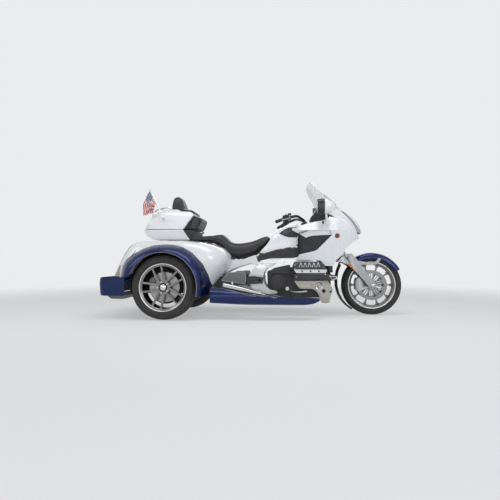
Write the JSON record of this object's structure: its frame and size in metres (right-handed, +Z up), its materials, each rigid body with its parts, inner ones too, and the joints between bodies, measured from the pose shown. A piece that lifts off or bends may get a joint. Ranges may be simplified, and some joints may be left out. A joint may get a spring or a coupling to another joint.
{
  "type": "motorized touring trike",
  "caption": "Touring trike: a steered front wheel, rear wheels under wide flares, a trunk with a hinged lid, a luggage hatch and a windscreen.",
  "frame": {"origin": "on the floor, under the middle of the overall length and midway between the rear wheels", "axes": "+X forward, +Y to the rider's left, +Z up"},
  "size_m": [3.088, 1.45, 1.457],
  "materials": {
    "frame_silver": "cast, satin",
    "engine_dark": "painted, satin",
    "cover_black": "satin black",
    "cowl_silver": "satin silver",
    "chrome": "polished",
    "plastic_black": "fine grain",
    "chassis_dark": "satin black",
    "paint_white": "clear-coated white",
    "paint_blue": "clear-coated metallic blue",
    "lamp_clear": "clear lens over a bright reflector",
    "screen_clear": "clear, slightly smoked",
    "seat_vinyl": "satin vinyl",
    "peg_metal": "satin",
    "flag_cloth": "woven, striped",
    "grip_rubber": "ribbed",
    "rim_silver": "machined and painted",
    "tyre": "matt",
    "disc_steel": "ground"
  },
  "bodies": {
    "chassis": {"frame": "frame_silver", "engine": "engine_dark", "cylinder_heads": "cover_black", "lower_cowl": "cowl_silver", "exhausts": "chrome", "radiators": "plastic_black", "wishbones": "chassis_dark", "fairing_sides": "paint_white", "upper_cowl": "paint_white", "inner_fairing": "plastic_black", "headlamps": "lamp_clear", "windscreen": "screen_clear", "dash": "plastic_black", "mirrors": "paint_white", "tank_cover": "paint_white", "side_panels": "plastic_black", "tail_covers": "paint_white", "seat": "seat_vinyl", "footpegs": "peg_metal", "trunk_box": "paint_white", "trunk_panel": "plastic_black", "rear_body": "paint_white", "rear_flares": "paint_blue", "inner_tub": "plastic_black", "luggage_floor": "plastic_black", "rear_bumper": "paint_blue", "tail_lamps": "lamp_clear", "running_boards": "paint_blue", "rear_axle": "chassis_dark"},
    "trunk_lid": {"trunk_lid": "paint_white", "backrest": "seat_vinyl", "headrest": "seat_vinyl", "flag_staff": "chrome", "flag": "flag_cloth"},
    "rear_hatch": {"rear_hatch": "paint_white"},
    "fork": {"fork": "frame_silver", "fork_covers": "cowl_silver", "front_fender": "paint_blue", "mud_guard": "plastic_black", "calipers": "frame_silver"},
    "handlebar": {"handlebar": "frame_silver", "grips": "grip_rubber"},
    "front_wheel": {"front_rim": "rim_silver", "front_tyre": "tyre", "front_discs": "disc_steel"},
    "rear_wheel_right": {"rear_rim_right": "rim_silver", "rear_tyre_right": "tyre"},
    "rear_wheel_left": {"rear_rim_left": "rim_silver", "rear_tyre_left": "tyre"}
  },
  "joints": [
    {"name": "steering", "type": "hinge", "parent": "chassis", "child": "fork", "pos_m": [1.304, 0, 0], "axis": [-0.5878, 0, 0.809], "range_deg": [-30, 30]},
    {"name": "handlebar_turn", "type": "hinge", "parent": "chassis", "child": "handlebar", "pos_m": [0.526, 0, 0.96], "axis": [-0.5878, 0, 0.809], "range_deg": [-30, 30]},
    {"name": "front_wheel_spin", "type": "hinge", "parent": "fork", "child": "front_wheel", "pos_m": [1.224, 0, 0.32], "axis": [0, 1, 0], "continuous": true},
    {"name": "rear_wheel_right_spin", "type": "hinge", "parent": "chassis", "child": "rear_wheel_right", "pos_m": [-0.892, -0.59, 0.32], "axis": [0, 1, 0], "continuous": true},
    {"name": "rear_wheel_left_spin", "type": "hinge", "parent": "chassis", "child": "rear_wheel_left", "pos_m": [-0.892, 0.59, 0.32], "axis": [0, 1, 0], "continuous": true},
    {"name": "trunk_lid_hinge", "type": "hinge", "parent": "chassis", "child": "trunk_lid", "pos_m": [-0.646, 0, 0.906], "axis": [0, 1, 0], "range_deg": [0, 50]},
    {"name": "rear_hatch_hinge", "type": "hinge", "parent": "chassis", "child": "rear_hatch", "pos_m": [-1.242, 0, 0.774], "axis": [0, 1, 0], "range_deg": [0, 60]}
  ],
  "couplings": [
    {"joint": "handlebar_turn", "follows": "steering", "ratio": 1}
  ]
}
